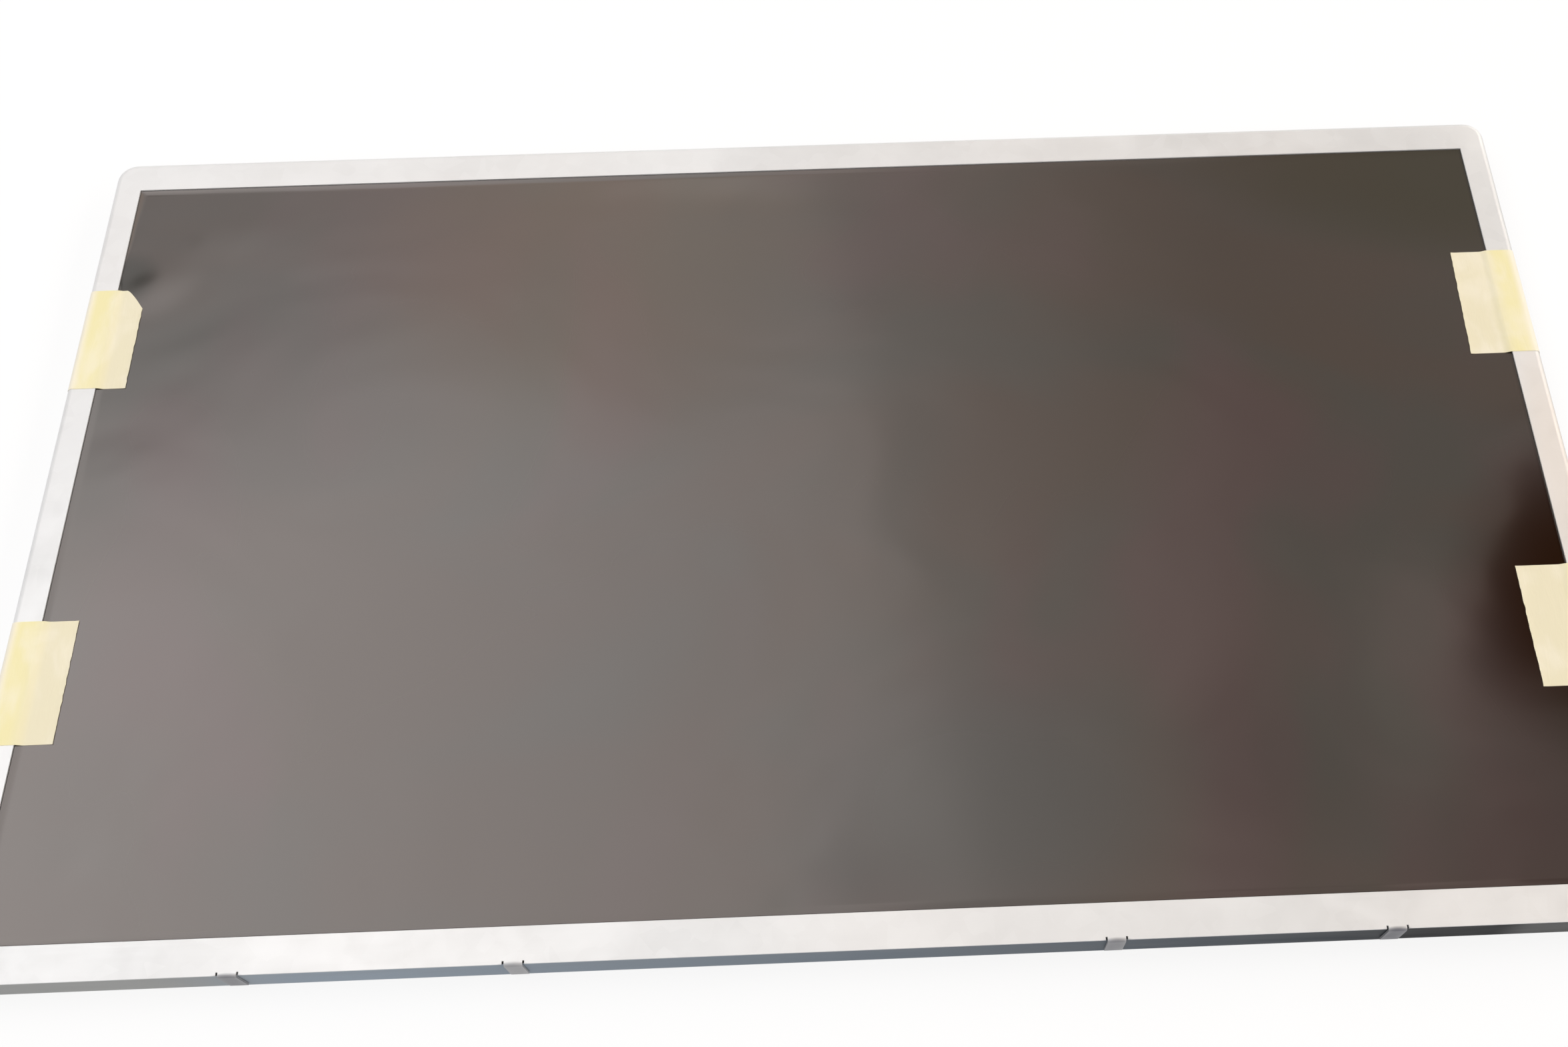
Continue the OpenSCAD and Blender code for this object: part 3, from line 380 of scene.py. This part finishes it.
def sheet_metal(name, base, metallic, rough, grain, spangle=0.0, tint=None, marks=()):
    """Plated sheet steel: cloudy patches, a rolling grain, faint crystals and the marks it is
    given, which on the bezel are painted shade and painted reflection.
    """
    f = Finish(name)
    clouds = f.noise(45.0, detail=4, rough=0.55, twist=0.4)
    colour = f.mix(f.span(clouds, 0.35, 0.68), shaded(base, 0.9), base)
    if tint is not None:
        colour = f.mix(f.span(f.noise(130.0, detail=1), 0.35, 0.7, 0.0, 0.55), colour, tint)
    if spangle:
        crystals = f.span(f.cells(5.0), 0.1, 0.9, 0.0, spangle)
        colour = f.mix(crystals, colour, shaded(base, 1.1))
    for mark, share, *place in marks:
        colour = f.stain(colour, mark, share, *place)
    streaks = f.noise(grain, detail=3, rough=0.6)
    smudge = f.noise(18.0, detail=3, rough=0.6, twist=1.2)
    gloss = f.add(f.span(smudge, 0.35, 0.75, rough - 0.05, rough + 0.07),
                  f.vary(streaks, -0.03, 0.03))
    normal = f.bump(streaks, 0.004, 0.6)
    normal = f.bump(f.noise(60.0, detail=1), 0.12, 0.5, under=normal)
    return f.set(base_color=colour, metallic=metallic, roughness=gloss, normal=normal)


def bezel_steel():
    """Pale steel of the bezel, with painted shade and dark reflection on its four folded tabs,
    painted shade down its right wall and a painted warm reflection near its right edge.
    """
    # Painted shade and dark reflection on the tabs, painted shade on the right wall, painted
    # warm reflection on the face near the right edge
    painted_tab_shade, wall, warm = (0.10, 0.10, 0.12), (0.35, 0.34, 0.33), (0.72, 0.62, 0.53)
    tabs = ((-142.5, 0.82), (-73.5, 0.66), (73.5, 0.8), (142.5, 0.95))
    marks = [(painted_tab_shade, share, x, -127.6, 5.0, 1.6) for x, share in tabs]
    marks += [(wall, 0.5, 215.3, 0.0, 1.1, 420.0), (warm, 0.4, 212.0, -5.0, 9.0, 60.0)]
    return sheet_metal("bezel_plated_steel", (0.77, 0.77, 0.77), 0.4, 0.5,
                       (30.0, 0.35, 4.0), 0.15, tint=(0.79, 0.77, 0.755), marks=marks)


def moulded(name, base, rough, grain=0.5, depth=0.006, shade=0.9, **more):
    """Moulded plastic, rubber or foam with a fine grain and a slight cloudiness."""
    f = Finish(name)
    colour = f.mix(f.vary(f.noise(14.0, detail=3)), shaded(base, shade), base)
    fine = f.noise(grain, detail=2, rough=0.6)
    gloss = f.vary(f.noise(6.0, detail=2), rough - 0.05, rough + 0.05)
    return f.set(base_color=colour, roughness=gloss, normal=f.bump(fine, depth, 0.7), **more)


def screen_film():
    """Clear film over the matt polarizer: the dark screen shows through it."""
    f = Finish("film_over_screen")
    warm, cool, rose = (0.046, 0.034, 0.027), (0.039, 0.037, 0.032), (0.056, 0.034, 0.034)
    loose, green = (0.008, 0.008, 0.003), (0.034, 0.036, 0.034)
    olive, brown = (0.024, 0.022, 0.010), (0.017, 0.006, 0.002)
    clouds = f.noise((95.0, 60.0, 50.0), detail=2, twist=0.6)
    bloom = f.noise((70.0, 110.0, 50.0), detail=2, twist=0.4)
    colour = f.mix(f.span(clouds, 0.36, 0.66), warm, cool)
    colour = f.mix(f.span(bloom, 0.48, 0.72, 0.0, 0.8), colour, rose)
    # Painted reflections: dark above the left upper tape, where the film lifts, green at the
    # lower edge, olive at the upper right and the brown of the mirrored cupboard at the right
    # edge
    colour = f.stain(colour, loose, 1.0, -206.0, 82.0, 13.0, 12.0, 35.0)
    colour = f.stain(colour, green, 1.0, 40.0, -90.0, 60.0, 42.0)
    colour = f.stain(colour, olive, 0.8, 196.0, 108.0, 90.0, 40.0, -10.0)
    colour = f.stain(colour, brown, 1.0, 212.0, -42.0, 44.0, 56.0)
    # Smoother at the right edge, where the mirrored cupboard has a clear outline
    reflection_pattern = f.noise((120.0, 46.0, 50.0), detail=3, rough=0.55, twist=0.8)
    gloss = f.math("SUBTRACT", f.vary(reflection_pattern, 0.11, 0.15),
                   f.times(f.spot(205.0, -28.0, 70.0, 60.0), 0.07))
    waves = f.noise((70.0, 55.0, 50.0), detail=2, rough=0.45, twist=0.5)
    normal = f.bump(waves, 0.6, 1.0)
    return f.set(base_color=colour, roughness=gloss, ior=1.8, specular_tint=(1, 0.91, 0.87),
                 coat_weight=0.5, coat_roughness=0.1, coat_ior=1.5, coat_normal=normal,
                 normal=normal)


def yellow_tape():
    """Pale yellow paper tape, with a painted highlight along its fold. It looks yellower over
    the bright bezel.
    """
    f = Finish("yellow_film_tape")
    over_screen, over_metal = (0.785, 0.72, 0.52), (0.84, 0.765, 0.42)
    pale = (0.90, 0.84, 0.70)
    across = f.math("ABSOLUTE", f.x)
    blotches = f.noise((9.0, 16.0, 9.0), detail=3, twist=0.5)
    colour = f.mix(f.span(across, 203.0, 209.5), over_screen, over_metal)
    colour = f.mix(f.span(blotches, 0.42, 0.7, 0.0, 0.5), colour, pale)
    # Painted highlight: paler where the tape turns over the fold
    colour = f.mix(f.span(across, 211.5, 214.6), colour, pale)
    fibres = f.noise((0.5, 1.6, 0.8), detail=3, rough=0.65)
    creases = f.noise((2.2, 14.0, 4.0), detail=3, rough=0.6, twist=1.0)
    normal = f.bump(creases, 0.09, 0.9, under=f.bump(fibres, 0.02, 0.7))
    return f.set(base_color=colour, roughness=f.vary(fibres, 0.42, 0.56),
                 normal=normal, sheen_weight=0.1)


def black_strip():
    """Black film with a painted reflection along the module's lower edge: bluish grey growing
    towards the left and a dark spot near the right end. Greyer towards both ends.
    """
    f = Finish("black_edge_tape")
    black, blue, grey = (0.006, 0.0065, 0.008), (0.36, 0.42, 0.49), (0.41, 0.41, 0.40)
    wear_and_reflection_noise = f.noise((40.0, 6.0, 6.0), detail=3)
    # Painted reflection: bluish grey, growing from the right end towards the left and broken
    # up by noise
    reflection_pattern = f.times(f.span(f.x, 158.0, -115.0, smooth=False),
                   f.span(wear_and_reflection_noise, 0.2, 0.6, 0.85, 1.0))
    colour = f.mix(reflection_pattern, black, blue)
    colour = f.mix(f.span(f.x, -125.0, -165.0), colour, grey)
    # Painted dark reflection near the right end
    colour = f.stain(colour, black, 1.0, 155.0, -127.4, 16.0, 8.0)
    colour = f.mix(f.span(f.x, 168.0, 178.0, 0.0, 0.25), colour, grey)
    # Only the lower edge carries the painted reflection: further up, the same film covers the
    # board
    colour = f.mix(f.span(f.y, -123.0, -118.0), colour, black)
    fine = f.noise((1.2, 0.6, 0.6), detail=3)
    return f.set(base_color=colour, roughness=f.vary(wear_and_reflection_noise, 0.5, 0.62),
                 specular_ior_level=0.08, normal=f.bump(fine, 0.012, 0.6))


def circuit_board():
    """Green solder mask over fine copper runs."""
    f = Finish("board_green_mask")
    runs = f.node("ShaderNodeTexBrick", offset=0.5)
    link(f.stretched(1.3), runs.inputs["Vector"])
    for name, value in (("Scale", 1), ("Mortar Size", 0.07), ("Brick Width", 7),
                        ("Row Height", 0.6), ("Color1", (0.012, 0.10, 0.04)),
                        ("Color2", (0.018, 0.15, 0.06)), ("Mortar", (0.010, 0.07, 0.03))):
        f.put(value, runs.inputs[name])
    pour = f.span(f.noise(16.0, detail=0), 0.5, 0.52)
    colour = f.mix(pour, runs.outputs["Color"], (0.02, 0.16, 0.065))
    return f.set(base_color=colour, roughness=f.vary(f.noise(5.0), 0.28, 0.4),
                 normal=f.bump(runs.outputs["Fac"], 0.02, 0.7), coat_weight=0.3)


def see_through(name, tint, rough, weight):
    """Glass or clear plastic, with slight streaks."""
    f = Finish(name)
    colour = f.mix(f.vary(f.noise(25.0, detail=2)), shaded(tint, 0.9), tint)
    gloss = f.vary(f.noise(8.0, detail=2), max(0, rough - 0.03), rough + 0.03)
    return f.set(base_color=colour, roughness=gloss, transmission_weight=weight, ior=1.5)


def finishes():
    """Finish for each material slot of the record."""
    return {
        "bezel_steel": bezel_steel(),
        "dark_polarizer": moulded("polarizer_matt", (0.046, 0.038, 0.032), 0.3, 0.2, 0.002),
        "cell_glass": see_through("cell_glass_edge", (0.42, 0.52, 0.48), 0.05, 0.6),
        "black_foam": moulded("foam_black", (0.018, 0.018, 0.019), 0.9, 0.35, 0.05, 0.7),
        "flex_film": moulded("flex_polyimide", (0.38, 0.17, 0.03), 0.32, 0.9, 0.004, 0.8),
        "chip_black": moulded("chip_epoxy", (0.022, 0.022, 0.024), 0.55, 0.15, 0.006, 0.7),
        "frame_plastic": moulded("frame_white_plastic", (0.74, 0.74, 0.72), 0.5, 0.5, 0.01),
        "optical_film": see_through("optical_sheet_haze", (0.88, 0.90, 0.92), 0.35, 0.4),
        "guide_acrylic": see_through("guide_clear_acrylic", (0.92, 0.96, 0.96), 0.06, 0.9),
        "white_film": moulded("reflector_white", (0.86, 0.86, 0.86), 0.55, 0.4, 0.004, 0.96),
        "led_bar": moulded("led_bar_white_mask", (0.78, 0.78, 0.75), 0.4, 0.6, 0.005),
        "led_body": moulded("led_phosphor", (0.80, 0.62, 0.12), 0.45, 0.3, 0.01),
        "grey_tape": moulded("heat_tape_grey", (0.35, 0.37, 0.40), 0.7, 0.5, 0.01),
        "socket_plastic": moulded("socket_ivory", (0.70, 0.665, 0.58), 0.42, 0.4, 0.006),
        "contact_metal": sheet_metal("contact_gilding", (0.83, 0.62, 0.26), 0.95, 0.25,
                                     (0.3, 2.0, 0.3)),
        "tray_steel": sheet_metal("tray_galvanised_steel", (0.60, 0.61, 0.615), 0.85, 0.40,
                                  (0.5, 40.0, 5.0), 0.5),
        "black_film": black_strip(),
        "board_green": circuit_board(),
        "capacitor_tan": moulded("capacitor_ceramic", (0.42, 0.30, 0.17), 0.5, 0.3, 0.01),
        "screw_steel": sheet_metal("screw_zinc", (0.62, 0.60, 0.55), 0.95, 0.30,
                                   (0.6, 0.6, 0.6)),
        "cover_steel": sheet_metal("cover_bright_steel", (0.68, 0.68, 0.67), 0.9, 0.30,
                                   (35.0, 0.4, 4.0), 0.2),
        "clear_film": screen_film(),
        "yellow_tape": yellow_tape(),
    }


def paint_nodes(slots):
    """Gives every CAD node the finish of its slot in the record."""
    for part in frame["record"]["subparts"]:
        material = slots[part["material_slot"]].material
        for slot in NODES[part["node"]].material_slots:
            slot.link = "OBJECT"
            slot.material = material


def soften_edges(node, width):
    """Breaks the cut edges of a sheet or moulding by width millimetres."""
    piece = NODES[node]
    weld = piece.modifiers.new("weld", "WELD")
    weld.merge_threshold = 0.002 * MM
    bevel = piece.modifiers.new("bevel", "BEVEL")
    bevel.width = width * MM
    bevel.segments = 2
    bevel.limit_method = "ANGLE"
    bevel.angle_limit = SHARP_ANGLE
    bevel.harden_normals = True
    bevel.use_clamp_overlap = True


# Thin soft pieces, in millimetres

def sheet(name, rows, thickness, finish, replaced):
    """Closed thin sheet below rows of points, with sharp cut edges."""
    count, lines = len(rows[0]), len(rows)
    top = [Vector(p) * MM for row in rows for p in row]
    grid = [(i * count + j, i * count + j + 1, (i + 1) * count + j + 1, (i + 1) * count + j)
            for i in range(lines - 1) for j in range(count - 1)]
    mesh = bpy.data.meshes.new(name)
    mesh.from_pydata(top, [], grid)
    if mesh.polygons[0].normal.z < 0:
        grid = [face[::-1] for face in grid]
        mesh.clear_geometry()
        mesh.from_pydata(top, [], grid)
    below = [p - n.vector * thickness * MM for p, n in zip(top, mesh.vertex_normals)]
    # An edge that no neighbour walks the other way lies on the border
    edges = dict.fromkeys((a, b) for face in grid
                          for a, b in zip(face, face[1:] + face[:1]))
    rim = [(b, a, a + len(top), b + len(top)) for a, b in edges if (b, a) not in edges]
    under = [tuple(v + len(top) for v in face[::-1]) for face in grid]
    mesh.clear_geometry()
    mesh.from_pydata(top + below, [], grid + rim + under)
    mesh.validate()
    mesh.shade_smooth()
    mesh.set_sharp_from_angle(angle=SHARP_ANGLE)
    mesh.materials.append(finish.material)
    piece = bpy.data.objects.new(name, mesh)
    SCENE.collection.objects.link(piece)
    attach(piece, "root")
    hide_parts(replaced)


# Where the film has come loose: x, y, radius_x, radius_y and height
LOOSE_PLACES = (
    (-198, 84, 16, 17, 0.45),
    (-188, 100, 30, 14, 0.20),
    (-20, 104, 85, 13, 0.22),
    (150, 104, 60, 14, 0.20),
)
WAVE_HEIGHT = 0.03
CURL_HEIGHT = 0.25
CURL_WIDTH = 2.4


def lift(x, y):
    """How far the film stands off the polarizer at a point."""
    height = WAVE_HEIGHT * (1 + noise.noise(Vector((x / 70, y / 52, 3.7))))
    for middle_x, middle_y, radius_x, radius_y, rise in LOOSE_PLACES:
        reach = ((x - middle_x) / radius_x) ** 2 + ((y - middle_y) / radius_y) ** 2
        height += rise * max(0.0, 1 - reach) ** 2
    border = min(x - FILM_LOW[0], y - FILM_LOW[1], FILM_HIGH[1] - y)
    return max(CURL_HEIGHT * max(0.0, 1 - border / CURL_WIDTH) ** 1.6, height)


def film_lines(low, high, steps):
    """Coordinates across the film, closer together where its edges curl up."""
    near = [0, 0.4, 0.8, 1.2, 1.6, 2.0, 2.4, 2.8, 3.2, 4.0]
    far = 5.5
    return ([low + d for d in near] + between(low + far, high - far, steps)
            + [high - d for d in reversed(near)])


def make_film(finish):
    """Clear film, slightly wavy, loose above the left upper tape and curled at three edges."""
    rows = [[(x, y, FILM_TOP + lift(x, y)) for x in film_lines(FILM_LOW[0], FILM_HIGH[0], 140)]
            for y in film_lines(FILM_LOW[1], FILM_HIGH[1], 84)]
    sheet("film_sheet", rows, FILM_T, finish, "protective_film")


def tape_path(inner):
    """Points (distance from the middle, height) of a tape's top, from the screen outwards."""
    on_film, on_face = FILM_TOP + TAPE_T, FACE_Z + TAPE_T
    ramp_x, fold_x, fold_z = OPENING_X - TAPE_RAMP, WALL_X - FOLD_R, FACE_Z - FOLD_R
    path = [(x, on_film) for x in between(inner, ramp_x, 14)[:-1]]
    for t in between(0, 1, 8):
        ease = t * t * (3 - 2 * t)
        path.append((ramp_x + TAPE_RAMP * t, on_film + (on_face - on_film) * ease))
    path += [(x, on_face) for x in between(OPENING_X, fold_x, 10)[1:-1]]
    for turn in between(90, 0, 10):
        a = math.radians(turn)
        path.append((fold_x + (FOLD_R + TAPE_T) * math.cos(a),
                     fold_z + (FOLD_R + TAPE_T) * math.sin(a)))
    path += [(WALL_X + TAPE_T, z) for z in between(fold_z, FACE_Z - TAPE_DROP, 6)[1:]]
    return path


def make_tape(name, finish, skew=0.0, clip=None):
    """Creased tape over the bezel, in the place of its CAD node.

    skew is how far the upper end of its inner edge leans outwards. clip is the width and
    height that are cut off its upper inner corner.
    """
    low, high = box_mm(name)
    side = 1 if low[0] > 0 else -1
    inner = min(abs(low[0]), abs(high[0]))
    reach = OPENING_X - inner
    lower, upper = low[1], high[1]
    seed = 11.0 + upper - lower
    rows = []
    for x, z in tape_path(inner):
        along = x - inner
        top = upper
        if clip and along < clip[0]:
            top -= clip[1] * (1 - along / clip[0]) ** 1.25
        on_wall = z < FACE_Z - FOLD_R + 0.1
        row = []
        for y in between(lower, top, 44):
            px = x + skew * (y - lower) / (upper - lower) * max(0, 1 - along / reach)
            crease = 0.05 * (noise.noise(Vector((px / 3.0, y / 7.5, seed))) + 0.3)
            raised_edge = 0.12 * math.exp(-max(0.0, along) / 0.7)
            height = z if on_wall else z + max(0.0, crease + raised_edge)
            if along < reach:
                height = max(height, FILM_TOP + lift(side * px, y) + TAPE_T)
            ragged = 0.18 * noise.noise(Vector((y / 1.6, seed, 2.0))) * math.exp(-along)
            row.append((side * (px + ragged), y, min(height, high[2])))
        rows.append(row)
    sheet(name + "_sheet", rows, TAPE_SHEET_T, finish, name)


def make_tapes(finish):
    """The four tapes that hold the film."""
    make_tape("tape_left_upper", finish, clip=(5.4, 6.6))
    make_tape("tape_left_lower", finish)
    make_tape("tape_right_upper", finish, skew=1.1)
    make_tape("tape_right_lower", finish)


SCENE.view_settings.view_transform = "Standard"
add_camera()
add_world()
add_floor()
add_canopy()

slots = finishes()
paint_nodes(slots)
make_film(slots["clear_film"])
make_tapes(slots["yellow_tape"])
soften_edges("front_bezel", EDGE_BREAK)
